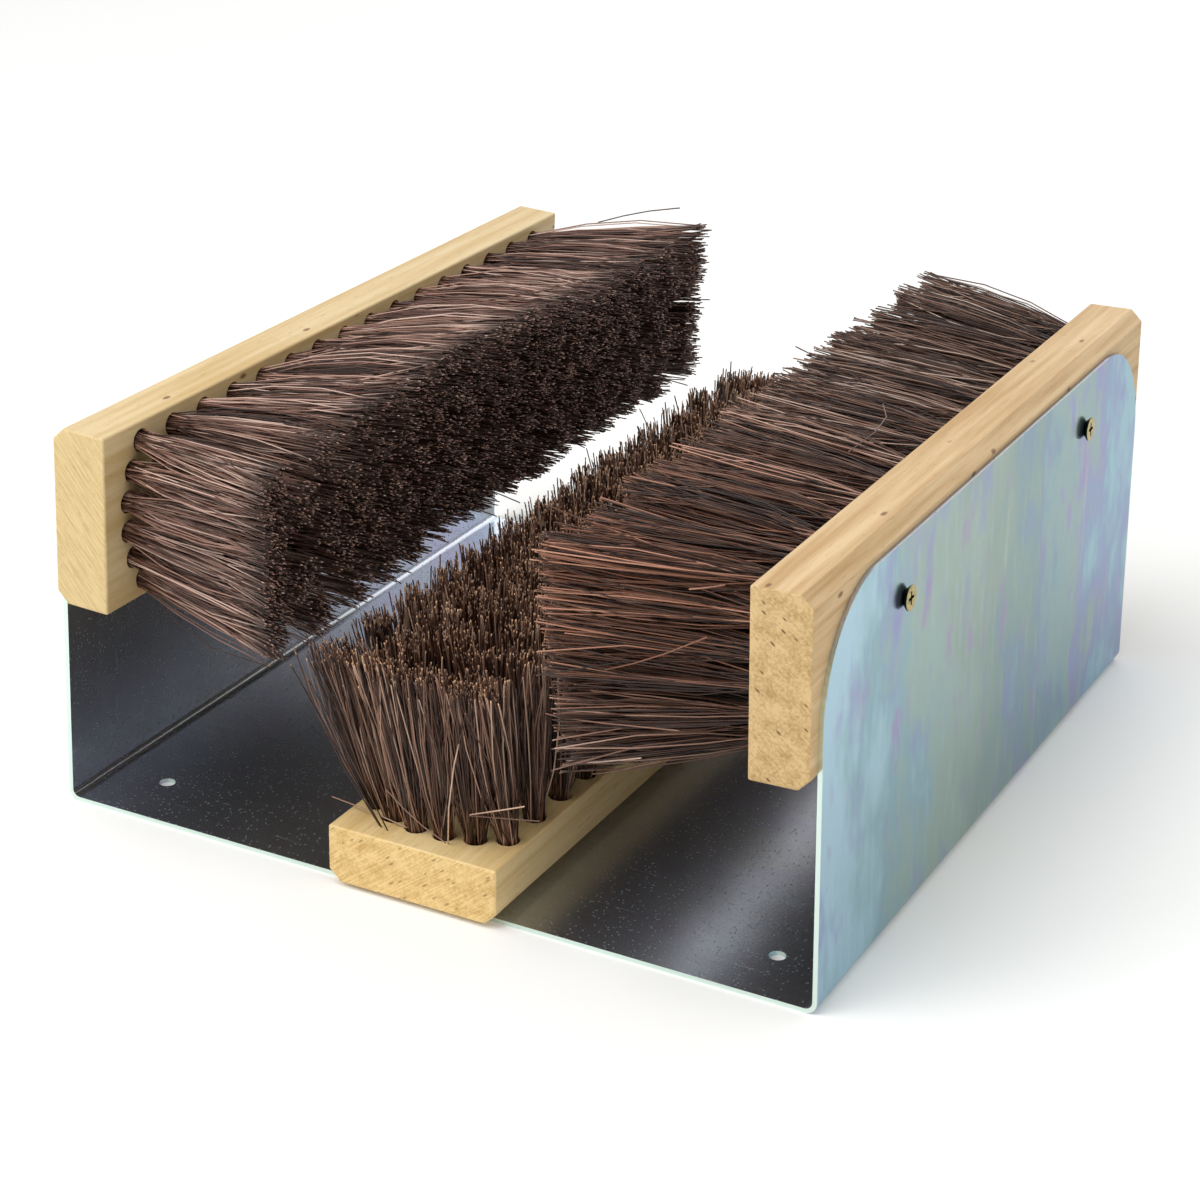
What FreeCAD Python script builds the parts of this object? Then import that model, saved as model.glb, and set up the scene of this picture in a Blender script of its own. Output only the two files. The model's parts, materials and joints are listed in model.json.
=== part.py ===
import FreeCAD, Part
import math
import os

# Boot cleaner: a bent sheet-steel tray with three broom heads. One is screwed to each wall and one
# to the floor.

Vector = FreeCAD.Vector

# Tray, in millimetres. X runs across it, Y along it and Z up. It stands on Z = 0.
tray_width = 270.0
tray_length = 282.0
sheet = 1.5
bend_inner_radius = 2.5
wall_height = 129.0
wall_lean = 2.0
top_corner_radius = 37.0
floor_hole_diameter = 5.5
floor_hole_spacing_x = 224.0
floor_hole_spacing_y = 236.0

# Wooden broom head.
block_length = 292.0
block_width = 60.0
block_thickness = 19.5
back_chamfer = 4.0
eased_edge = 0.8
side_block_lower_edge = 74.5

# Tufts. Each row runs along Y, and the end tufts stand on an arc.
tuft_pitch = 16.9
outer_row_offset = 23.6
inner_row_offset = 12.0
outer_row_count = 16
inner_row_count = 15
middle_row_count = 14
end_arc_radius = 40.6
end_arc_centre = 93.7
end_arc_step = 14.2
end_arc_count = 4
side_bristle_length = 63.0
centre_bristle_length = 60.0
outer_row_tilt = 3.8

# Towards the block's ends the tufts lean outwards along Y, most of all in the outer rows.
end_tilt = 7.5
corner_extra_tilt = 7.5
end_tilt_starts = 70.0
end_tilt_full = 126.75

# The left brush's bristles are combed upwards, a little at the front end and most past the middle.
left_front_lift = 2.0
left_back_lift = 9.0
left_lift_starts = -126.75
left_lift_full = -40.0

# Tuft holes, and the flat wire anchor that each tuft is folded round.
hole_diameter = 7.5
hole_depth = 13.0
tuft_face_radius = 3.65
tuft_tip_radius = 5.2
anchor_width = 5.6
anchor_thickness = 0.4
anchor_height = 2.2
anchor_gap = 0.3

# Countersunk screws with a cross recess, 4 by 16.
screw_length = 16.0
screw_diameter = 4.0
screw_head_diameter = 8.0
screw_rim = 0.5
screw_point = 3.0
screw_clearance = 0.05
recess_span = 4.4
recess_slot = 0.9
recess_depth = 1.7
wall_hole_diameter = 5.0
wall_screw_height = 110.5
wall_screw_y = 82.0
floor_screw_y = 84.5

past_face = 1.0


def lean_vectors(side):
    """Directions on the wall at this side: into the tray, and up the wall's slope."""
    lean = math.radians(wall_lean)
    inward = Vector(-side * math.cos(lean), 0, -math.sin(lean))
    up = Vector(-side * math.sin(lean), 0, math.cos(lean))
    return inward, up


def on_wall(side, depth, y, height):
    """A point this far in from the wall's outer face, and this far up its slope."""
    inward, up = lean_vectors(side)
    corner = Vector(side * tray_width / 2, y, 0)
    return corner + inward * depth + up * height


def bend(side):
    """The outer and inner arcs of one bend, each as its floor end, middle and wall end."""
    inward, up = lean_vectors(side)
    along_floor = Vector(-side, 0, 0)
    half_angle = math.radians(90.0 - wall_lean) / 2
    outer_radius = bend_inner_radius + sheet
    bisector = (along_floor + up).normalize()
    corner = Vector(side * tray_width / 2, 0, 0)
    centre = corner + bisector * (outer_radius / math.sin(half_angle))
    arcs = []
    for radius in (outer_radius, bend_inner_radius):
        floor_end = centre - Vector(0, 0, radius)
        wall_end = centre - inward * radius
        arcs.append((floor_end, centre - bisector * radius, wall_end))
    return arcs


def line(start, end):
    return Part.LineSegment(start, end).toShape()


def arc(start, middle, end):
    return Part.Arc(start, middle, end).toShape()


def prism(edges, direction):
    return Part.Face(Part.Wire(edges)).extrude(direction)


def bent_sheet():
    """The U-shaped section of the sheet, drawn out along Y."""
    left_outer, left_inner = bend(-1)
    right_outer, right_inner = bend(1)
    left_top = [on_wall(-1, depth, 0, wall_height) for depth in (0, sheet)]
    right_top = [on_wall(1, depth, 0, wall_height) for depth in (0, sheet)]
    edges = [
        line(left_top[0], left_outer[2]),
        arc(left_outer[2], left_outer[1], left_outer[0]),
        line(left_outer[0], right_outer[0]),
        arc(*right_outer),
        line(right_outer[2], right_top[0]),
        line(right_top[0], right_top[1]),
        line(right_top[1], right_inner[2]),
        arc(right_inner[2], right_inner[1], right_inner[0]),
        line(right_inner[0], left_inner[0]),
        arc(*left_inner),
        line(left_inner[2], left_top[1]),
        line(left_top[1], left_top[0]),
    ]
    solid = prism(edges, Vector(0, tray_length, 0))
    solid.translate(Vector(0, -tray_length / 2, 0))
    return solid


def corner_cutter(side, end):
    """What is cut away outside the rounded top corner of a wall, at its front or back end."""
    centre_y = tray_length / 2 - top_corner_radius
    centre_height = wall_height - top_corner_radius
    diagonal = top_corner_radius * math.sqrt(0.5)
    outside_y = tray_length / 2 + past_face
    outside_height = wall_height + past_face

    def place(y, height):
        return on_wall(side, -past_face, end * y, height)

    arc_top = place(centre_y, wall_height)
    arc_middle = place(centre_y + diagonal, centre_height + diagonal)
    arc_bottom = place(tray_length / 2, centre_height)
    above = place(centre_y, outside_height)
    far_corner = place(outside_y, outside_height)
    beside = place(outside_y, centre_height)
    edges = [
        arc(arc_bottom, arc_middle, arc_top),
        line(arc_top, above),
        line(above, far_corner),
        line(far_corner, beside),
        line(beside, arc_bottom),
    ]
    inward = lean_vectors(side)[0]
    return prism(edges, inward * (sheet + 2 * past_face))


def four_places(spacing_x, spacing_y):
    return [
        Vector(sign_x * spacing_x / 2, sign_y * spacing_y / 2, 0)
        for sign_x in (-1, 1)
        for sign_y in (-1, 1)
    ]


def tray():
    cutters = [corner_cutter(side, end) for side in (-1, 1) for end in (-1, 1)]
    for place in four_places(floor_hole_spacing_x, floor_hole_spacing_y):
        start = place - Vector(0, 0, past_face)
        cutters.append(Part.makeCylinder(floor_hole_diameter / 2, sheet + 2 * past_face, start))
    for side in (-1, 1):
        inward = lean_vectors(side)[0]
        for y in (-wall_screw_y, wall_screw_y):
            start = on_wall(side, -past_face, y, wall_screw_height)
            depth = sheet + 2 * past_face
            cutters.append(Part.makeCylinder(wall_hole_diameter / 2, depth, start, inward))
    cutters += [screw_space(place) for place in floor_screw_places()]
    return bent_sheet().cut(cutters)


# A broom head is drawn with its bristle face on Z = 0 and its bristles pointing to +Z.


def turned(side):
    """The placement of the brush on the left wall (-1), the floor (0) or the right wall (1)."""
    if side == 0:
        return FreeCAD.Placement(Vector(0, 0, sheet + block_thickness), FreeCAD.Rotation())
    height = side_block_lower_edge + block_width / 2
    turn = FreeCAD.Rotation(Vector(0, 1, 0), -side * (90.0 + wall_lean))
    return FreeCAD.Placement(on_wall(side, sheet + block_thickness, 0, height), turn)


def bristle_length(side):
    return side_bristle_length if side else centre_bristle_length


def hole_tilt(place):
    """How far a hole is drilled off square, in degrees across the block and along it."""
    outwards = place.x / outer_row_offset
    beyond = max(0.0, abs(place.y) - end_tilt_starts) / (end_tilt_full - end_tilt_starts)
    along = (end_tilt + corner_extra_tilt * outwards**2) * beyond**2
    return outer_row_tilt * outwards, math.copysign(along, place.y)


def comb_lift(place, side):
    """How far combing has turned a tuft from its hole, in degrees across the block."""
    if side != -1:
        return 0.0
    reached = (place.y - left_lift_starts) / (left_lift_full - left_lift_starts)
    more = (left_back_lift - left_front_lift) * min(1.0, max(0.0, reached))
    return -(left_front_lift + more)


def tilted(across, along):
    return Vector(math.tan(math.radians(across)), math.tan(math.radians(along)), 1).normalize()


def hole_axis(place):
    return tilted(*hole_tilt(place))


def bristle_axis(place, side):
    across, along = hole_tilt(place)
    return tilted(across + comb_lift(place, side), along)


def row(offset, count):
    """Evenly spaced tuft centres in one row along the block."""
    first = -tuft_pitch * (count - 1) / 2
    return [Vector(offset, first + k * tuft_pitch, 0) for k in range(count)]


def end_arc(end):
    """Tuft centres that close the rows at one end of the block."""
    places = []
    for k in range(end_arc_count):
        angle = math.radians(end_arc_step * (k - (end_arc_count - 1) / 2))
        x = end_arc_radius * math.sin(angle)
        y = end_arc_centre + end_arc_radius * math.cos(angle)
        places.append(Vector(x, end * y, 0))
    return places


def tuft_groups(side):
    """Node name to tuft centres. Side brushes have a top and a bottom, the centre one two sides."""
    high, low = {-1: ("bottom", "top"), 0: ("right", "left"), 1: ("top", "bottom")}[side]
    return {
        f"{high}_outer_row": row(outer_row_offset, outer_row_count),
        f"{high}_inner_row": row(inner_row_offset, inner_row_count),
        "middle_row": row(0, middle_row_count),
        f"{low}_inner_row": row(-inner_row_offset, inner_row_count),
        f"{low}_outer_row": row(-outer_row_offset, outer_row_count),
        "front_end_tufts": end_arc(-1),
        "back_end_tufts": end_arc(1),
    }


def all_tufts():
    return [place for places in tuft_groups(0).values() for place in places]


def tuft_hole(place):
    """Drilled with a flat bottom."""
    axis = hole_axis(place)
    start = place - axis * hole_depth
    return Part.makeCylinder(hole_diameter / 2, hole_depth + past_face, start, axis)


def tuft(place, side):
    """The envelope of one bundle of fibres: its root in the hole, and its bristles to the trim."""
    root_axis = hole_axis(place)
    axis = bristle_axis(place, side)
    length = bristle_length(side)
    root = place - root_axis * (hole_depth - anchor_height - anchor_gap)
    tip = place + axis * (length / axis.z)
    root_radius = tuft_face_radius + (tuft_tip_radius - tuft_face_radius) * root.z / length
    sections = [
        Part.Wire(Part.makeCircle(radius, middle))
        for middle, radius in ((root, root_radius), (place, tuft_face_radius), (tip, tuft_tip_radius))
    ]
    return Part.makeLoft(sections, True, True)


def wire_anchor(place):
    """A short flat wire standing on the bottom of the hole, under the fold of the tuft."""
    corner = Vector(-anchor_width / 2, -anchor_thickness / 2, 0)
    wire = Part.makeBox(anchor_width, anchor_thickness, anchor_height, corner)
    axis = hole_axis(place)
    turn = FreeCAD.Rotation(Vector(0, 0, 1), axis)
    wire.Placement = FreeCAD.Placement(place - axis * hole_depth, turn)
    return wire


def side_screw_places(side):
    """Where a wall's screws enter, in the broom head's own drawing."""
    across = wall_screw_height - side_block_lower_edge - block_width / 2
    back = -block_thickness - sheet
    return [Vector(side * across, y, back) for y in (-wall_screw_y, wall_screw_y)]


def floor_screw_places():
    return [Vector(0, y, 0) for y in (-floor_screw_y, floor_screw_y)]


def screw_outline(grown):
    """The screw as turned, point up along +Z, with the head's top on Z = 0."""
    head = screw_head_diameter / 2 + grown
    shank = screw_diameter / 2 + grown
    cone_end = screw_rim + head - shank
    points = [
        Vector(0, 0, 0),
        Vector(head, 0, 0),
        Vector(head, 0, screw_rim),
        Vector(shank, 0, cone_end),
        Vector(shank, 0, screw_length - screw_point + grown),
        Vector(0, 0, screw_length + grown),
        Vector(0, 0, 0),
    ]
    return Part.Face(Part.makePolygon(points)).revolve(Vector(0, 0, 0), Vector(0, 0, 1), 360)


def screw():
    solid = screw_outline(0)
    for turn in (0, 90):
        corner = Vector(-recess_span / 2, -recess_slot / 2, -past_face)
        slot = Part.makeBox(recess_span, recess_slot, recess_depth + past_face, corner)
        slot.rotate(Vector(0, 0, 0), Vector(0, 0, 1), turn)
        solid = solid.cut(slot)
    middle = Part.makeCone(recess_slot, recess_slot / 4, recess_depth + past_face)
    return solid.cut(middle).Solids[0]


def screw_space(place):
    space = screw_outline(screw_clearance)
    space.translate(place)
    return space


def wall_head_stands_proud():
    """The head's cone rests on the rim of the plain hole in the wall."""
    return screw_rim + (screw_head_diameter - wall_hole_diameter) / 2


def screw_starts(side):
    """The middle of each screw head's top, in the broom head's drawing."""
    if side == 0:
        down = Vector(0, 0, -sheet - block_thickness)
        return [place + down for place in floor_screw_places()]
    proud = Vector(0, 0, -wall_head_stands_proud())
    return [place + proud for place in side_screw_places(side)]


def block(side):
    """A planed bar with its two back edges bevelled, drilled for the tufts and the screws."""
    corner = Vector(-block_width / 2, -block_length / 2, -block_thickness)
    bar = Part.makeBox(block_width, block_length, block_thickness, corner)
    back_edges = [
        edge
        for edge in bar.Edges
        if edge.BoundBox.ZMax < corner.z + past_face and edge.BoundBox.YLength > block_width
    ]
    bar = bar.makeChamfer(back_chamfer, back_edges)
    bar = bar.makeFillet(eased_edge, bar.Edges)
    holes = [tuft_hole(place) for place in all_tufts()]
    holes += [screw_space(place) for place in screw_starts(side)]
    return bar.cut(holes).Solids[0]


def moved(solids, placement):
    for solid in solids:
        solid.Placement = placement.multiply(solid.Placement)
    return Part.makeCompound(solids)


def save(name, shape):
    shape.exportStep(f"parts/{name}.step")
    print(name, len(shape.Solids), "solids", round(shape.Volume), "mm3", shape.isValid())


os.makedirs("parts", exist_ok=True)
save("tray", tray().Solids[0])
for brush_name, brush_side in (("left", -1), ("centre", 0), ("right", 1)):
    placement = turned(brush_side)
    save(f"{brush_name}_brush_block", moved([block(brush_side)], placement).Solids[0])
    for group_name, tuft_places in tuft_groups(brush_side).items():
        tufts = [tuft(place, brush_side) for place in tuft_places]
        save(f"{brush_name}_brush_{group_name}", moved(tufts, placement))
    anchors = [wire_anchor(place) for place in all_tufts()]
    save(f"{brush_name}_brush_wire_anchors", moved(anchors, placement))
    screws = []
    for start in screw_starts(brush_side):
        fastener = screw()
        fastener.translate(start)
        screws.append(fastener)
    save(f"{brush_name}_brush_screws", moved(screws, placement))
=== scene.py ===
import json
import math

import bmesh
import bpy
import numpy as np
from mathutils import Matrix, Vector

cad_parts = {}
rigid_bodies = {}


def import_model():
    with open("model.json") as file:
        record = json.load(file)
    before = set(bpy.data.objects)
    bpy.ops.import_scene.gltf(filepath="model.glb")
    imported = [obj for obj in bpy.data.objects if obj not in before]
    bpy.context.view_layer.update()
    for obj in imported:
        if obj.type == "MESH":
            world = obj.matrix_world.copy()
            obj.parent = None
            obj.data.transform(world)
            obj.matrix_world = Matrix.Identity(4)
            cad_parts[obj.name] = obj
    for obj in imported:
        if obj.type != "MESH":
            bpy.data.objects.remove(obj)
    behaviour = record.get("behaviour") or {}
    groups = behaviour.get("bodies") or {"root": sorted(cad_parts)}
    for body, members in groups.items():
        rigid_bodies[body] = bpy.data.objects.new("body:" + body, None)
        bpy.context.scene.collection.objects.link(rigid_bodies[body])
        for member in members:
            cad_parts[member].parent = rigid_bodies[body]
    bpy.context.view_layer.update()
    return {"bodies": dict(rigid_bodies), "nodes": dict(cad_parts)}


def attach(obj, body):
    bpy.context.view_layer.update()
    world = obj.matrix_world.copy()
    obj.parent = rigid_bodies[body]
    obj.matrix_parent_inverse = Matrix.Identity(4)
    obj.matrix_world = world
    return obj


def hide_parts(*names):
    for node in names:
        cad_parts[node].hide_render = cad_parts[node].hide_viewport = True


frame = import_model()
nodes = frame["nodes"]
body = next(iter(frame["bodies"]))
millimetre = 0.001
random = np.random.default_rng(64)
print("frame loaded:", len(nodes), "pieces")


# Camera, floor and lights

studio = {
    "cameraPlace": (0.39229, -0.78963, 0.44088),
    "cameraTurn": 27.07,  # degrees to the left of +Y
    "cameraDown": 24.02,
    "cameraRoll": 1.36,
    "lens": 83.71,
    "floorSize": 8.0,
    "floorColour": "#F8F8F6",
    "floorRoughness": 0.9,
    "worldColour": "#FFFFFF",
    "worldStrength": 0.55,
    # name: (place, width and height, power in watts)
    "lights": {
        "overheadSoftbox": ((-0.45, -0.70, 1.62), (1.3, 1.3), 19.6),
        "frontLeftSoftbox": ((-1.1, -1.35, 0.9), (0.9, 0.9), 8.6),
        "rightSoftbox": ((1.5, -0.7, 1.25), (1.1, 1.1), 5.0),
        "backSoftbox": ((0.0, 2.2, 0.95), (3.0, 1.1), 18.5),
    },
}


def hexColour(text):
    # sRGB hex to linear
    channels = [int(text[k : k + 2], 16) / 255 for k in (1, 3, 5)]
    linear = [c / 12.92 if c <= 0.04045 else ((c + 0.055) / 1.055) ** 2.4 for c in channels]
    return (*linear, 1.0)


def addNode(tree, kind, settings=None, links=None):
    # settings and links are by socket name or number; a setting that is no socket is the node's own
    node = tree.nodes.new(kind)
    for name, value in (settings or {}).items():
        if isinstance(name, str) and name not in node.inputs:
            setattr(node, name, value)
        else:
            node.inputs[name].default_value = value
    for name, source in (links or {}).items():
        if isinstance(source, bpy.types.Node):
            source = next(output for output in source.outputs if output.enabled)
        tree.links.new(source, node.inputs[name])
    return node


def newMaterial(name, settings):
    material = bpy.data.materials.new(name)
    material.use_nodes = True
    tree = material.node_tree
    tree.nodes.clear()
    shader = addNode(tree, "ShaderNodeBsdfPrincipled", settings)
    addNode(tree, "ShaderNodeOutputMaterial", links={"Surface": shader.outputs["BSDF"]})
    return material, tree, shader


def setRamp(node, stops):
    ramp, stops = node.color_ramp, list(stops)
    while len(ramp.elements) < len(stops):
        ramp.elements.new(1.0)
    for element, (place, colour) in zip(ramp.elements, stops):
        element.position = place
        element.color = hexColour(colour)
    return node


noiseRoughness = 0.6
noiseApart = 3.7  # metres from one pattern's place in the noise to the next one's


def makePatterns(tree, patterns, shift=0.0):
    # each pattern is a noise with its own real size along X, Y and Z
    place = addNode(tree, "ShaderNodeTexCoord").outputs["Object"]
    made = {}
    for name, (sizes, turn, detail) in patterns.items():
        settings = {"vector_type": "TEXTURE", "Scale": sizes, "Location": (shift,) * 3}
        settings["Rotation"] = (0.0, math.radians(turn), 0.0)
        mapped = addNode(tree, "ShaderNodeMapping", settings, {"Vector": place})
        settings = {"Scale": 1.0, "Detail": detail, "Roughness": noiseRoughness}
        made[name] = addNode(tree, "ShaderNodeTexNoise", settings, {"Vector": mapped})
        shift += noiseApart
    return place, made


def facing(tree, axis, nothing=0.8, full=0.95):
    # 1 on faces that look along this axis, either way
    normal = addNode(tree, "ShaderNodeNewGeometry").outputs["Normal"]
    part = addNode(tree, "ShaderNodeSeparateXYZ", links={"Vector": normal}).outputs[axis]
    size = addNode(tree, "ShaderNodeMath", {"operation": "ABSOLUTE"}, {0: part})
    return addNode(
        tree, "ShaderNodeMapRange", {"From Min": nothing, "From Max": full}, {"Value": size}
    )


def paint(piece, *materials):
    piece.data.materials.clear()
    for material in materials:
        piece.data.materials.append(material)


def makeStudio():
    cameraData = bpy.data.cameras.new("camera")
    cameraData.lens = studio["lens"]
    camera = bpy.data.objects.new("camera", cameraData)
    turn = Matrix.Rotation(math.radians(studio["cameraTurn"]), 4, "Z")
    down = Matrix.Rotation(math.radians(90 - studio["cameraDown"]), 4, "X")
    roll = Matrix.Rotation(math.radians(studio["cameraRoll"]), 4, "Z")
    camera.matrix_world = Matrix.Translation(studio["cameraPlace"]) @ turn @ down @ roll
    bpy.context.collection.objects.link(camera)
    bpy.context.scene.camera = camera

    floorData = bpy.data.meshes.new("studioFloor")
    shape = bmesh.new()
    bmesh.ops.create_grid(shape, x_segments=1, y_segments=1, size=studio["floorSize"] / 2)
    shape.to_mesh(floorData)
    shape.free()
    floor = bpy.data.objects.new("studioFloor", floorData)
    bpy.context.collection.objects.link(floor)
    settings = {"Base Color": hexColour(studio["floorColour"])}
    settings["Roughness"] = studio["floorRoughness"]
    paint(floor, newMaterial("studioPaper", settings)[0])

    world = bpy.data.worlds.new("studioWorld")
    world.use_nodes = True
    background = world.node_tree.nodes["Background"]
    background.inputs["Color"].default_value = hexColour(studio["worldColour"])
    background.inputs["Strength"].default_value = studio["worldStrength"]
    bpy.context.scene.world = world
    for name, (place, size, power) in studio["lights"].items():
        lightData = bpy.data.lights.new(name, "AREA")
        lightData.shape = "RECTANGLE"
        lightData.size, lightData.size_y = size
        lightData.energy = power
        light = bpy.data.objects.new(name, lightData)
        light.location = place
        light.rotation_euler = (-Vector(place)).to_track_quat("-Z", "Y").to_euler()
        bpy.context.collection.objects.link(light)
    bpy.context.scene.view_settings.view_transform = "Standard"
    print("studio made")


# Tray: steel sheet, zinc plated and blue passivated. The surface is close to a mirror, and the thin
# film on the zinc tints it pale blue, with grey green, lilac and pink where the film is thicker.
# Inside, dry dust dulls it to a grey haze.

zincPlate = {
    # the film's colours from the front edge to the back one
    "film": [
        (0.00, "#B6D5E4"),
        (0.10, "#A8C9D2"),
        (0.20, "#96B6C1"),
        (0.28, "#A6BDB6"),
        (0.38, "#A6B9AF"),
        (0.50, "#9DB0A5"),
        (0.60, "#94ACA7"),
        (0.67, "#8DA2B6"),
        (0.73, "#94B2B6"),
        (0.80, "#9FB6B1"),
        (0.86, "#9CA2C6"),
        (0.91, "#92AAC6"),
        (1.00, "#A0C6D0"),
    ],
    "length": 282 * millimetre,
    # name: (size along X, Y and Z in metres, turn in degrees, detail)
    "patterns": {
        "blotch": ((0.040, 0.026, 0.040), 0, 4.0),
        "streak": ((0.030, 0.005, 0.030), 0, 3.0),
        # the sheet's rolling lines, drawn wider than real ones, which are too fine to show
        "hairline": ((0.040, 0.0007, 0.040), 0, 3.0),
        "lilac": ((0.034, 0.017, 0.034), 0, 3.0),
        "pink": ((0.022, 0.010, 0.022), 0, 2.0),
    },
    # how far each pattern pushes the film's colours along Y, and the noise values that push most
    "blotchShift": 46 * millimetre,
    "streakShift": 17 * millimetre,
    "shiftRange": (0.25, 0.75),
    # name: (colour, where its pattern begins to show and where it shows most, how much of it shows)
    "lilacColour": ("#9A9CCB", 0.54, 0.74, 0.8),
    "pinkColour": ("#AE90C2", 0.58, 0.78, 0.7),
    "paleColour": ("#C4D2D0", 0.42, 0.22, 0.4),
    "cutEdge": "#D9EAE2",
    "grazingTint": "#DDE0E4",
    "metallic": 0.92,
    "roughness": (0.18, 0.24),
    "hairlineDepth": 0.002 * millimetre,
    # a face counts as an inside one from the first value of its normal's part, fully at the second
    "insideFrom": (0.3, 0.8),
    "haze": {"colour": "#C0BEC7", "share": 0.75, "metallic": 0.97, "roughness": 0.05},
    "dustSpacing": 1.6 * millimetre,
    "dustReach": 0.19,  # of the spacing
    "dustColour": "#5F6468",
    "dustGaps": 0.3,  # the share of the cells without a speck
    "dustRoughness": 0.8,
}


def zincMaterial():
    size = zincPlate
    settings = {"Specular Tint": hexColour(size["grazingTint"])}
    material, tree, shader = newMaterial("bluePassivatedZinc", settings)
    place, made = makePatterns(tree, size["patterns"])
    apart = addNode(tree, "ShaderNodeSeparateXYZ", links={"Vector": place})
    shifted = apart.outputs["Y"]
    low, high = size["shiftRange"]
    for name in ("blotch", "streak"):
        reach = size[f"{name}Shift"]
        settings = {"From Min": low, "From Max": high, "To Min": -reach, "To Max": reach}
        turned = addNode(tree, "ShaderNodeMapRange", settings, {"Value": made[name]})
        shifted = addNode(tree, "ShaderNodeMath", {}, {0: shifted, 1: turned})
    half = size["length"] / 2
    share = addNode(
        tree, "ShaderNodeMapRange", {"From Min": -half, "From Max": half}, {"Value": shifted}
    )
    colour = setRamp(addNode(tree, "ShaderNodeValToRGB", links={"Fac": share}), size["film"])
    for name, pattern in (("lilac", "lilac"), ("pink", "pink"), ("pale", "streak")):
        tint, nothing, full, most = size[f"{name}Colour"]
        settings = {"From Min": nothing, "From Max": full, "To Max": most}
        mask = addNode(tree, "ShaderNodeMapRange", settings, {"Value": made[pattern]})
        settings = {"data_type": "RGBA", 7: hexColour(tint)}
        colour = addNode(tree, "ShaderNodeMix", settings, {0: mask, 6: colour})

    # 1 inside the tray: on walls that face its middle, and on the floor's top
    normal = addNode(tree, "ShaderNodeNewGeometry").outputs["Normal"]
    looks = addNode(tree, "ShaderNodeSeparateXYZ", links={"Vector": normal})
    sideSign = addNode(tree, "ShaderNodeMath", {"operation": "SIGN"}, {0: apart.outputs["X"]})
    outward = addNode(
        tree, "ShaderNodeMath", {"operation": "MULTIPLY"}, {0: sideSign, 1: looks.outputs["X"]}
    )
    low, high = size["insideFrom"]
    settings = {"From Min": -low, "From Max": -high}
    wallInside = addNode(tree, "ShaderNodeMapRange", settings, {"Value": outward})
    settings = {"From Min": low, "From Max": high}
    floorTop = addNode(tree, "ShaderNodeMapRange", settings, {"Value": looks.outputs["Z"]})
    links = {0: wallInside, 1: floorTop}
    inside = addNode(tree, "ShaderNodeMath", {"operation": "MAXIMUM"}, links)
    haze = size["haze"]
    hazed = addNode(
        tree, "ShaderNodeMath", {"operation": "MULTIPLY", 1: haze["share"]}, {0: inside}
    )
    settings = {"data_type": "RGBA", 7: hexColour(haze["colour"])}
    colour = addNode(tree, "ShaderNodeMix", settings, {0: hazed, 6: colour})
    settings = {"To Min": size["metallic"], "To Max": haze["metallic"]}
    metallic = addNode(tree, "ShaderNodeMapRange", settings, {"Value": inside})

    settings = {"Scale": 1 / size["dustSpacing"]}
    cells = addNode(tree, "ShaderNodeTexVoronoi", settings, {"Vector": place})
    settings = {"From Min": size["dustReach"], "From Max": size["dustReach"] / 2}
    specks = addNode(tree, "ShaderNodeMapRange", settings, {"Value": cells})
    apartCells = addNode(tree, "ShaderNodeSeparateXYZ", links={"Vector": cells.outputs["Color"]})
    settings = {"operation": "GREATER_THAN", 1: size["dustGaps"]}
    held = addNode(tree, "ShaderNodeMath", settings, {0: apartCells.outputs["X"]})
    specks = addNode(tree, "ShaderNodeMath", {"operation": "MULTIPLY"}, {0: specks, 1: held})
    dust = addNode(tree, "ShaderNodeMath", {"operation": "MULTIPLY"}, {0: specks, 1: inside})
    settings = {"data_type": "RGBA", 7: hexColour(size["dustColour"])}
    colour = addNode(tree, "ShaderNodeMix", settings, {0: dust, 6: colour})
    metallic = addNode(tree, "ShaderNodeMix", {3: 0.0}, {0: dust, 2: metallic})
    settings = {"data_type": "RGBA", 7: hexColour(size["cutEdge"])}
    colour = addNode(tree, "ShaderNodeMix", settings, {0: facing(tree, "Y"), 6: colour})

    low, high = size["roughness"]
    settings = {"To Min": low, "To Max": high}
    dull = addNode(tree, "ShaderNodeMapRange", settings, {"Value": made["hairline"]})
    settings = {"operation": "MULTIPLY_ADD", 1: haze["roughness"]}
    dull = addNode(tree, "ShaderNodeMath", settings, {0: inside, 2: dull})
    dull = addNode(tree, "ShaderNodeMix", {3: size["dustRoughness"]}, {0: dust, 2: dull})
    settings = {"Distance": size["hairlineDepth"]}
    lines = addNode(tree, "ShaderNodeBump", settings, {"Height": made["hairline"]})
    for name, source in (("Base Color", colour.outputs[2]), ("Metallic", metallic.outputs[0])):
        tree.links.new(source, shader.inputs[name])
    tree.links.new(dull.outputs[0], shader.inputs["Roughness"])
    tree.links.new(lines.outputs["Normal"], shader.inputs["Normal"])
    return material


# Brush blocks: planed beech, unvarnished, so pale and matt. Long faint grain and short dark ray
# flecks on the sides, and pores, dashes and saw marks on the cut ends.

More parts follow.
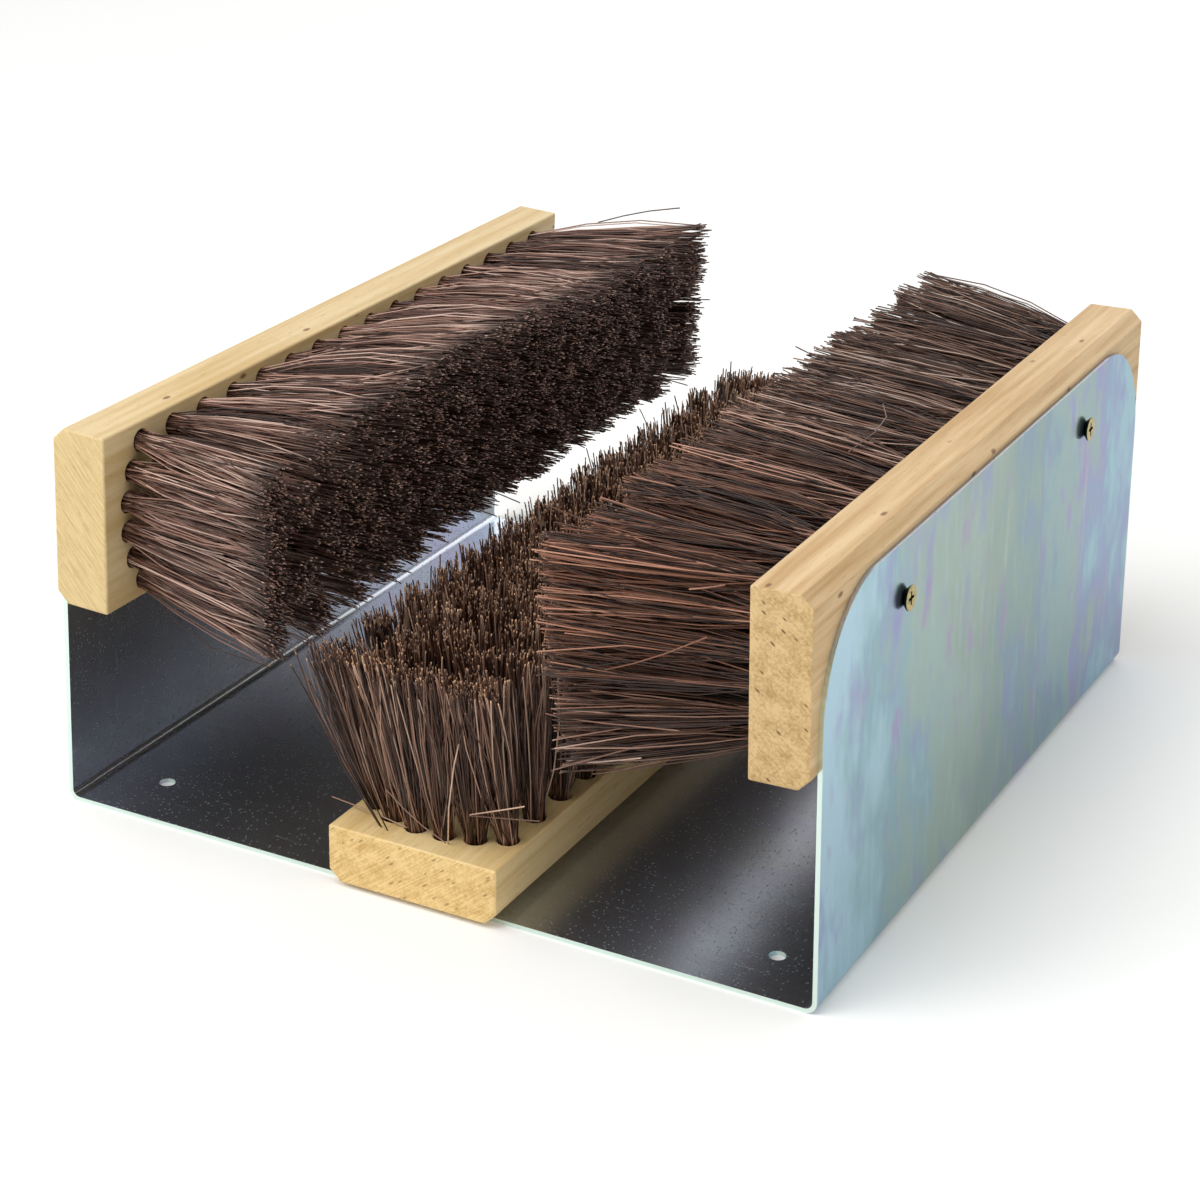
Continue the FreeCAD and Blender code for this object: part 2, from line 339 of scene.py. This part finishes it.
beech = {
    # name: (size along X, Y and Z in metres, turn in degrees, detail)
    "patterns": {
        "rings": ((0.0042, 0.110, 0.0042), 0, 6.0),
        "fleck": ((0.0008, 0.006, 0.0008), 0, 2.0),
        # drawn wider than real pores, which are too fine to show
        "pores": ((0.0010, 0.0010, 0.0010), 0, 4.0),
        "mottle": ((0.0045, 0.0045, 0.0045), 0, 2.0),
    },
    "sawMark": (0.0005, 1.0, 0.012),
    "sawDetail": 2.0,
    "dash": (2.3 * millimetre, 6.5 * millimetre),  # the cells that the dashes stand in
    "dashReach": 0.19,
    "knotCell": (12 * millimetre, 26 * millimetre),
    "knotReach": 0.09,
    "knotShare": 0.85,
    "fleckShare": 0.55,  # how much of their colour the strongest flecks show
    "mottleShare": 0.45,  # how much of an end's pattern is mottle, and the rest is pores
    "endFacing": (0.6, 0.9),  # the normal's part along Y at which an end begins and is full
    # the noise values between which each of these goes from nothing to full
    "grainRange": (0.38, 0.66),
    "fleckRange": (0.6, 0.8),
    "endRange": (0.38, 0.56),
    "fleckColour": "#A27C4C",
    "dashColour": "#6C4A22",
    "knotColour": "#6B421C",
    "ior": 1.5,
    "roughness": (0.52, 0.7),
    "relief": 0.15 * millimetre,
    "reliefStrength": 0.45,
    # each block's own boards: pale and dark grain on the sides, then on the ends
    "boards": {
        "left": {
            "side": ("#D6BF93", "#C4A671"),
            "end": ("#D6BD89", "#BFA26D"),
            "sawTurn": -38,
            "sawShare": 0.7,
            "dashes": 0.2,
            "shift": 0.0,
        },
        "centre": {
            "side": ("#EFD39B", "#DAB777"),
            "end": ("#E4C588", "#BE9856"),
            "sawTurn": 52,
            "sawShare": 0.4,
            "dashes": 0.6,
            "shift": 3.0,
        },
        "right": {
            "side": ("#D2B487", "#B48F5C"),
            "end": ("#CFB17E", "#A88650"),
            "sawTurn": -52,
            "sawShare": 0.2,
            "dashes": 1.0,
            "shift": 7.0,
        },
    },
}


def beechMaterial(name):
    size, board = beech, beech["boards"][name]
    material, tree, shader = newMaterial(f"planedBeech_{name}", {"IOR": size["ior"]})
    sawMarks = (size["sawMark"], board["sawTurn"], size["sawDetail"])
    patterns = {**size["patterns"], "sawMarks": sawMarks}
    place, made = makePatterns(tree, patterns, board["shift"])

    def cellMask(cells, reach, share, turn=0):
        # 1 in the middle of each cell of a stretched pattern
        settings = {"vector_type": "TEXTURE", "Location": (board["shift"],) * 3, "Scale": cells}
        settings["Rotation"] = (0.0, math.radians(turn), 0.0)
        mapped = addNode(tree, "ShaderNodeMapping", settings, {"Vector": place})
        spread = addNode(tree, "ShaderNodeTexVoronoi", {"Scale": 1.0}, {"Vector": mapped})
        settings = {"From Min": reach, "From Max": reach / 2, "To Max": share}
        return addNode(tree, "ShaderNodeMapRange", settings, {"Value": spread})

    side = addNode(tree, "ShaderNodeValToRGB", links={"Fac": made["rings"]})
    setRamp(side, zip(size["grainRange"], board["side"]))
    low, high = size["fleckRange"]
    settings = {"From Min": low, "From Max": high, "To Max": size["fleckShare"]}
    flecks = addNode(tree, "ShaderNodeMapRange", settings, {"Value": made["fleck"]})
    width, run = size["knotCell"]
    knots = cellMask((width, run, width), size["knotReach"], size["knotShare"])
    for mask, tint in ((flecks, "fleckColour"), (knots, "knotColour")):
        settings = {"data_type": "RGBA", 7: hexColour(size[tint])}
        side = addNode(tree, "ShaderNodeMix", settings, {0: mask, 6: side})

    links = {2: made["pores"], 3: made["mottle"]}
    rough = addNode(tree, "ShaderNodeMix", {0: size["mottleShare"]}, links)
    links = {2: rough, 3: made["sawMarks"]}
    cut = addNode(tree, "ShaderNodeMix", {0: board["sawShare"]}, links)
    end = addNode(tree, "ShaderNodeValToRGB", links={"Fac": cut})
    setRamp(end, zip(size["endRange"], reversed(board["end"])))
    width, run = size["dash"]
    dashes = cellMask((width, 1.0, run), size["dashReach"], board["dashes"], board["sawTurn"])
    settings = {"data_type": "RGBA", 7: hexColour(size["dashColour"])}
    end = addNode(tree, "ShaderNodeMix", settings, {0: dashes, 6: end})

    isEnd = facing(tree, "Y", *size["endFacing"])
    colour = addNode(tree, "ShaderNodeMix", {"data_type": "RGBA"}, {0: isEnd, 6: side, 7: end})
    low, high = size["roughness"]
    settings = {"To Min": low, "To Max": high}
    dull = addNode(tree, "ShaderNodeMapRange", settings, {"Value": made["rings"]})
    height = addNode(tree, "ShaderNodeMix", {}, {0: isEnd, 2: made["fleck"], 3: cut})
    settings = {"Distance": size["relief"], "Strength": size["reliefStrength"]}
    relief = addNode(tree, "ShaderNodeBump", settings, {"Height": height})
    tree.links.new(colour.outputs[2], shader.inputs["Base Color"])
    tree.links.new(dull.outputs[0], shader.inputs["Roughness"])
    tree.links.new(relief.outputs["Normal"], shader.inputs["Normal"])
    return material


# Screws: steel, yellow passivated, brassy on the head's top. The cone under the head is painted
# dark green, as painted shade where it faces only the tray's wall.
# Anchors: bright drawn wire.

yellowZinc = {
    "film": [(0.35, "#77703A"), (0.50, "#C2AB62"), (0.62, "#8C7A48"), (0.74, "#5E5238")],
    "patterns": {"film": ((0.0016, 0.0016, 0.0016), 0, 3.0)},
    # painted shade: the dark green drawn on the cone under each head
    "under": "#1E3024",
    "roughness": (0.16, 0.3),
}
drawnWire = {
    "shades": [(0.3, "#8E9194"), (0.7, "#C9CBCC")],
    "patterns": {"marks": ((0.0008, 0.0008, 0.0008), 0, 2.0)},
    "roughness": 0.3,
}


def yellowZincMaterial():
    size = yellowZinc
    material, tree, shader = newMaterial("yellowPassivatedZinc", {"Metallic": 1.0})
    film = makePatterns(tree, size["patterns"])[1]["film"]
    tint = setRamp(addNode(tree, "ShaderNodeValToRGB", links={"Fac": film}), size["film"])
    # the cone under the head is the only face that stands at 45 degrees, and it gets the painted
    # shade
    links = {0: facing(tree, "X"), 1: facing(tree, "Z")}
    top = addNode(tree, "ShaderNodeMath", {"operation": "MAXIMUM"}, links)
    settings = {"data_type": "RGBA", 6: hexColour(size["under"])}
    colour = addNode(tree, "ShaderNodeMix", settings, {0: top, 7: tint})
    low, high = size["roughness"]
    dull = addNode(tree, "ShaderNodeMapRange", {"To Min": low, "To Max": high}, {"Value": film})
    tree.links.new(colour.outputs[2], shader.inputs["Base Color"])
    tree.links.new(dull.outputs[0], shader.inputs["Roughness"])
    return material


def drawnWireMaterial():
    size = drawnWire
    settings = {"Metallic": 1.0, "Roughness": size["roughness"]}
    material, tree, shader = newMaterial("drawnWire", settings)
    marks = makePatterns(tree, size["patterns"])[1]["marks"]
    tint = setRamp(addNode(tree, "ShaderNodeValToRGB", links={"Fac": marks}), size["shades"])
    tree.links.new(tint.outputs["Color"], shader.inputs["Base Color"])
    return material


# Bristles: stiff brown palm fibre, round, with a waxy skin that gives each one a soft highlight.
# The cut ends are paler on the centre and right brushes. On the left brush the cut ends and the
# last fifth of each fibre are painted near black, as painted shade over its tip face. Every fibre
# is also painted darker near the block and lighter towards its tip, as painted shade. Each fibre
# has its own shade of brown, which the mesh carries as an attribute.

fibre = {
    "perTuft": 130,
    "diameter": 0.47 * millimetre,
    "rootRadius": 3.35 * millimetre,
    "buried": 4.0 * millimetre,
    # how far a tuft's fibres stand off its axis at the tips, along the block and across it
    "spread": (8.8 * millimetre, 8.0 * millimetre),
    "edge": 6.2 * millimetre,  # how far they may stand out past the outermost tufts
    "pastEdge": 0.22,  # the share that is left of what goes further
    "keepsPlace": 0.66,  # the share of the spread that follows from a fibre's place in its hole
    "scatter": 1.7,  # how much further than its share the rest of the spread goes
    "endReach": 15 * millimetre,  # tufts this near a block's end are its outermost
    "wander": 1.3 * millimetre,
    "bow": 1.7 * millimetre,
    "tuftShift": 1.1 * millimetre,
    "shortShare": 0.06,
    "shortBy": 9 * millimetre,
    "strayShare": 0.03,
    "strayWander": 4.5 * millimetre,
    "places": (0.0, 0.30, 0.62, 0.985, 1.0),  # the points along one fibre, from the block's face
    "ior": 1.5,
    "roughness": 0.36,
    # painted shade: how much lighter a fibre is drawn at its tip than at the block, where fibres
    # shade each other
    "paintedTipLight": 0.12,
    "tuftTone": 0.05,
    "darkEnd": 0.4,  # how much of its cut end's colour the darkest fibre shows
    "looseRoot": -0.02,
    "looseTone": 0.2,
    "shadePlaces": (0.0, 0.3, 0.65, 0.9, 1.0),
    # each brush's own fibre: its shades, its cut ends and how far back their colour begins;
    # on the left brush that colour is near black, a painted shade over the tip face
    "left": {
        "shades": ("#180D0A", "#40291F", "#785447", "#AE8878", "#CCAE9F"),
        # painted shade: near-black cut ends, starting four fifths along each fibre, for the tip
        # face in shadow
        "cutEndAndTipShade": "#1B120E",
        "endFrom": 0.80,
        "tone": 0.08,
        "trimScatter": 0.6 * millimetre,
    },
    "centre": {
        "shades": ("#190D08", "#392017", "#694837", "#A07A66", "#C8A68E"),
        "cutEndAndTipShade": "#F2C292",
        "endFrom": 0.985,
        "tone": -0.02,
        "trimScatter": 1.5 * millimetre,
    },
    "right": {
        "shades": ("#180D08", "#372015", "#5F4030", "#8E6E5E", "#BCA496"),
        "cutEndAndTipShade": "#B58E6E",
        "endFrom": 0.985,
        "tone": -0.05,
        "trimScatter": 1.0 * millimetre,
        # part of this brush is of newer, redder fibre
        "redPatch": {
            "place": (0.064, -0.120, 0.120),
            "reach": (0.085, 0.13, 0.055),
            "colour": "#8A5338",
            "fullAt": 0.6,
            "share": 0.65,
        },
    },
}
# Use has combed the tips at some corners: (place along the block, reach along it, which half, then
# the shifts along, across and back towards the block), in millimetres. The halves are -1 for below
# or left of the middle, 1 for the other and 0 for both.
combedHalf = 22 * millimetre  # from the middle of a block to where a half's shift is full
combed = {
    "left": [(-146, 16, -1, 1.0, 7.0, 0.0), (100, 110, 1, 0.0, -8.0, 0.0)],
    "centre": [(-148, 18, -1, -3.5, -6.0, 0.0)],
    "right": [
        (-118, 26, -1, 0.0, -6.0, 6.0),
        (-150, 12, -1, 6.0, 3.0, 2.0),
        (-150, 12, 1, 7.0, -2.0, 0.0),
        (-150, 14, 0, 2.5, 0.0, 0.0),
    ],
}
# Single loose fibres, each from a point through a point to a point, in millimetres.
looseFibres = {
    "left": [((-90.3, 146.8, 132.7), (-70.1, 140.9, 141.0), (-47.0, 128.0, 149.5))],
    "centre": [
        ((-37.5, -131.4, 22.0), (-21.8, -134.6, 22.6), (-6.7, -136.5, 21.6)),
        ((9.0, -138.5, 22.0), (14.5, -146.0, 47.0), (18.1, -144.0, 70.2)),
        ((-8.5, -146.0, 39.0), (4.0, -149.5, 33.5), (14.7, -149.5, 28.5)),
        ((21.4, -146.0, 38.4), (31.0, -146.6, 42.6), (39.8, -146.0, 46.1)),
        ((21.4, -146.0, 38.0), (33.0, -146.8, 40.6), (44.9, -146.0, 42.5)),
        ((-15.0, -139.5, 22.0), (-27.0, -146.0, 50.0), (-39.8, -150.0, 75.6)),
        ((-16.0, -139.0, 22.0), (-29.5, -146.0, 52.0), (-37.0, -151.0, 80.5)),
        ((-12.0, -140.5, 22.0), (-20.0, -148.0, 48.0), (-33.0, -151.0, 72.8)),
    ],
    "right": [
        ((102.2, -147.0, 132.4), (97.0, -148.5, 131.0), (91.6, -147.0, 128.8)),
        ((67.0, -148.0, 98.7), (82.0, -150.0, 106.5), (98.0, -148.0, 116.0)),
        ((59.6, -146.0, 66.2), (65.0, -147.0, 68.0), (78.0, -146.0, 72.2)),
        ((62.4, -146.0, 63.0), (70.0, -147.5, 66.5), (84.0, -146.0, 72.6)),
        ((47.0, -147.0, 79.2), (60.0, -148.0, 80.5), (90.0, -146.0, 84.0)),
        ((97.0, -46.3, 138.0), (97.0, -20.0, 138.6), (89.4, -2.3, 137.7)),
        ((50.0, -118.0, 57.5), (66.0, -122.0, 66.0), (92.0, -126.0, 73.0)),
        ((51.0, -106.0, 56.0), (68.0, -112.0, 66.0), (94.0, -118.0, 74.0)),
    ],
}


def fibreMaterial(name):
    size = fibre
    settings = {"Roughness": size["roughness"], "IOR": size["ior"]}
    material, tree, shader = newMaterial(f"palmFibre_{name}", settings)
    shade = addNode(tree, "ShaderNodeAttribute", {"attribute_name": "shade"})
    along = addNode(tree, "ShaderNodeAttribute", {"attribute_name": "along"})
    # painted shade: each fibre is drawn darker near the block and lighter towards its tip
    settings = {"operation": "MULTIPLY_ADD", 1: size["paintedTipLight"]}
    links = {0: along.outputs["Fac"], 2: shade.outputs["Fac"]}
    toneWithPaintedShade = addNode(tree, "ShaderNodeMath", settings, links)
    tint = addNode(tree, "ShaderNodeValToRGB", links={"Fac": toneWithPaintedShade})
    setRamp(tint, zip(size["shadePlaces"], size[name]["shades"]))
    if "redPatch" in size[name]:
        patch = size[name]["redPatch"]
        place = addNode(tree, "ShaderNodeTexCoord").outputs["Object"]
        settings = {"vector_type": "TEXTURE", "Location": patch["place"], "Scale": patch["reach"]}
        mapped = addNode(tree, "ShaderNodeMapping", settings, {"Vector": place})
        settings = {"gradient_type": "SPHERICAL"}
        near = addNode(tree, "ShaderNodeTexGradient", settings, {"Vector": mapped})
        settings = {"From Max": patch["fullAt"], "To Max": patch["share"]}
        near = addNode(tree, "ShaderNodeMapRange", settings, {"Value": near.outputs["Fac"]})
        settings = {"data_type": "RGBA", "blend_type": "COLOR", 7: hexColour(patch["colour"])}
        tint = addNode(tree, "ShaderNodeMix", settings, {0: near, 6: tint})
    # the ends show most on the paler fibres; on the left brush the end colour is near black, a
    # painted shade over the tip face that reaches back over the last fifth of each fibre
    settings = {"From Min": size[name]["endFrom"], "From Max": 1.0}
    cut = addNode(tree, "ShaderNodeMapRange", settings, {"Value": along.outputs["Fac"]})
    settings = {"To Min": size["darkEnd"]}
    pale = addNode(tree, "ShaderNodeMapRange", settings, {"Value": shade.outputs["Fac"]})
    cut = addNode(tree, "ShaderNodeMath", {"operation": "MULTIPLY"}, {0: cut, 1: pale})
    settings = {"data_type": "RGBA", 7: hexColour(size[name]["cutEndAndTipShade"])}
    colour = addNode(tree, "ShaderNodeMix", settings, {0: cut, 6: tint})
    tree.links.new(colour.outputs[2], shader.inputs["Base Color"])
    return material


def looseParts(node):
    # the vertices of each separate solid in a CAD node
    welded = 0.01 * millimetre
    shape = bmesh.new()
    shape.from_mesh(nodes[node].data)
    bmesh.ops.remove_doubles(shape, verts=shape.verts, dist=welded)
    waiting = set(shape.verts)
    parts = []
    while waiting:
        reached = [waiting.pop()]
        for vertex in reached:
            beside = {edge.other_vert(vertex) for edge in vertex.link_edges} & waiting
            waiting -= beside
            reached += beside
        parts.append(np.array([vertex.co for vertex in reached]))
    shape.free()
    return parts


def tuftAxes(node, brush):
    # the middles of each tuft's root, of its mouth at the block's face and of its tip
    nearby = 0.3 * millimetre
    axes = []
    for part in looseParts(node):
        height = part @ brush["outward"]
        levels = (height.min(), brush["face"], height.max())
        axes.append([part[abs(height - level) < nearby].mean(axis=0) for level in levels])
    return sorted(axes, key=lambda axis: tuple(np.round(axis[2], 4)))


def readBrush(name):
    # the brush's own directions, and where its bristle face stands
    block = nodes[f"{name}_brush_block"].data
    guess = Vector({"left": (1, 0, 0), "centre": (0, 0, 1), "right": (-1, 0, 0)}[name])
    nearly = 0.9
    facingOut = max(block.polygons, key=lambda face: face.area * (face.normal @ guess > nearly))
    outward, along = np.array(facingOut.normal), np.array((0.0, 1.0, 0.0))
    across = np.array({"left": (0, 0, 1), "centre": (1, 0, 0), "right": (0, 0, 1)}[name])
    across = across - (across @ outward) * outward
    across /= np.linalg.norm(across)
    corners = np.array([vertex.co for vertex in block.vertices])
    return {
        "name": name,
        "outward": outward,
        "along": along,
        "across": across,
        "face": (corners @ outward).max(),
        "middle": np.ptp(corners @ across) / 2 + (corners @ across).min(),
        "halfLength": np.ptp(corners @ along) / 2,
    }


def combing(brush, mouth):
    # how far use has pushed the tips of the tuft that starts here: along, across and back
    place = (mouth @ brush["along"]) / millimetre
    side = (mouth @ brush["across"] - brush["middle"]) / combedHalf
    shift = np.zeros(3)
    for middle, reach, half, *push in combed[brush["name"]]:
        near = math.exp(-(((place - middle) / reach) ** 2))
        share = np.clip(side * half, 0, 1) if half else 1.0
        shift += np.array(push) * near * share * millimetre
    return shift


def tuftPaths(brush, isOuter, root, mouth, tip):
    size, count = fibre, fibre["perTuft"]
    outward, along, across = brush["outward"], brush["along"], brush["across"]
    start = mouth + (root - mouth) * size["buried"] / ((mouth - root) @ outward)
    hang = (tip - mouth) / ((tip - mouth) @ outward)
    radius, angle = np.sqrt(random.random((2, count))), random.random((2, count)) * 2 * math.pi
    discs = np.stack([radius * np.cos(angle), radius * np.sin(angle)], axis=2)
    low = discs[0] * size["rootRadius"]
    high = discs[0] * size["keepsPlace"] + discs[1] * (1 - size["keepsPlace"]) * size["scatter"]
    high = high * size["spread"] + random.normal(0, size["wander"], (count, 2))
    high += random.normal(0, size["tuftShift"], 2)
    # past the outermost tufts there is nothing for the fibres to fill, so they keep closer
    reach = mouth @ along
    sides = (
        np.sign(reach) * (abs(reach) > brush["halfLength"] - size["endReach"]),
        np.sign(mouth @ across - brush["middle"]) * isOuter,
    )
    for axis, side in enumerate(sides):
        over = np.clip(high[:, axis] * side - size["edge"], 0, None)
        high[:, axis] -= side * over * (1 - size["pastEdge"])
    combedAlong, combedAcross, combedBack = combing(brush, mouth)
    high += (combedAlong, combedAcross)
    bow = random.normal(0, size["bow"], (count, 2))
    stray = (random.random(count) < size["strayShare"])[:, None]
    high += stray * random.normal(0, size["strayWander"], (count, 2))
    bow += stray * random.normal(0, size["strayWander"] / 2, (count, 2))
    length = (tip - mouth) @ outward - combedBack
    length = length + random.normal(0, size[brush["name"]]["trimScatter"], count)
    short = random.random(count) < size["shortShare"]
    length -= short * random.random(count) * size["shortBy"]
    paths = [start + low[:, :1] * along + low[:, 1:] * across]
    for place in size["places"]:
        aside = low + (high - low) * place + bow * 4 * place * (1 - place)
        points = mouth + hang * (length * place)[:, None]
        paths.append(points + aside[:, :1] * along + aside[:, 1:] * across)
    return np.stack(paths, axis=1)


def loosePaths(name):
    # a smooth bend through the middle point, at as many points as a tuft's fibres have
    shares = np.array([0.0, *fibre["places"]])
    shares[:2] = (fibre["looseRoot"], 0.0)
    t = shares[:, None]
    paths = []
    for first, middle, last in np.array(looseFibres[name]) * millimetre:
        bend = 2 * middle - (first + last) / 2
        paths.append((1 - t) ** 2 * first + 2 * t * (1 - t) * bend + t**2 * last)
    return np.array(paths)


def fibreMesh(name, paths, tones):
    # Every fibre is one spline with a square section. The caps come before the rings in the mesh,
    # and are joined to them at the end.
    joined = 0.001 * millimetre
    curve = bpy.data.curves.new(name, "CURVE")
    curve.dimensions = "3D"
    curve.bevel_depth = fibre["diameter"] / 2
    curve.bevel_resolution = 0
    curve.use_fill_caps = True
    for points in paths:
        spline = curve.splines.new("POLY")
        spline.points.add(len(points) - 1)
        weighted = np.pad(points, ((0, 0), (0, 1)), constant_values=1)
        spline.points.foreach_set("co", weighted.ravel())
    drawn = bpy.data.objects.new(name, curve)
    bpy.context.collection.objects.link(drawn)
    depsgraph = bpy.context.evaluated_depsgraph_get()
    mesh = bpy.data.meshes.new_from_object(drawn.evaluated_get(depsgraph))
    bpy.data.objects.remove(drawn)
    bpy.data.curves.remove(curve)
    count, sides = len(paths), 4
    shades = np.clip(random.random(count) + tones, 0, 1)
    rings = np.repeat((0.0, *fibre["places"]), sides)
    caps = np.repeat((0.0, 1.0), sides)
    along = np.concatenate([np.tile(caps, count), np.tile(rings, count)])
    shade = np.concatenate([np.repeat(shades, len(caps)), np.repeat(shades, len(rings))])
    for label, values in (("along", along), ("shade", shade)):
        attribute = mesh.attributes.new(label, "FLOAT", "POINT")
        attribute.data.foreach_set("value", values.astype(np.float32))
    shape = bmesh.new()
    shape.from_mesh(mesh)
    bmesh.ops.remove_doubles(shape, verts=shape.verts, dist=joined)
    shape.to_mesh(mesh)
    shape.free()
    mesh.name = name
    return bpy.data.objects.new(name, mesh)


def makeTufts():
    for name in ("left", "centre", "right"):
        material = fibreMaterial(name)
        brush = readBrush(name)
        rows = [node for node in nodes if node.startswith(f"{name}_brush_")]
        rows = sorted(node for node in rows if node.endswith(("row", "tufts")))
        pieces = {}
        for node in rows:
            axes = tuftAxes(node, brush)
            isOuter = node.endswith("outer_row")
            paths = np.concatenate([tuftPaths(brush, isOuter, *axis) for axis in axes])
            tones = random.normal(fibre[name]["tone"], fibre["tuftTone"], len(axes))
            tones = np.repeat(tones, fibre["perTuft"])
            pieces[node] = fibreMesh(f"{node}_fibres", paths, tones)
        loose = fibreMesh(f"{name}_brush_loose_fibres", loosePaths(name), fibre["looseTone"])
        for piece in (*pieces.values(), loose):
            bpy.context.collection.objects.link(piece)
            paint(piece, material)
            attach(piece, body)
        for node, piece in pieces.items():
            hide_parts(node)
        print(name, "brush made:", len(rows), "groups of tufts")


makeStudio()
zinc = zincMaterial()
screwMetal = yellowZincMaterial()
wire = drawnWireMaterial()
paint(nodes["tray"], zinc)
for brushName in ("left", "centre", "right"):
    paint(nodes[f"{brushName}_brush_block"], beechMaterial(brushName))
    paint(nodes[f"{brushName}_brush_screws"], screwMetal)
    paint(nodes[f"{brushName}_brush_wire_anchors"], wire)
print("tray, blocks and screws painted")
makeTufts()
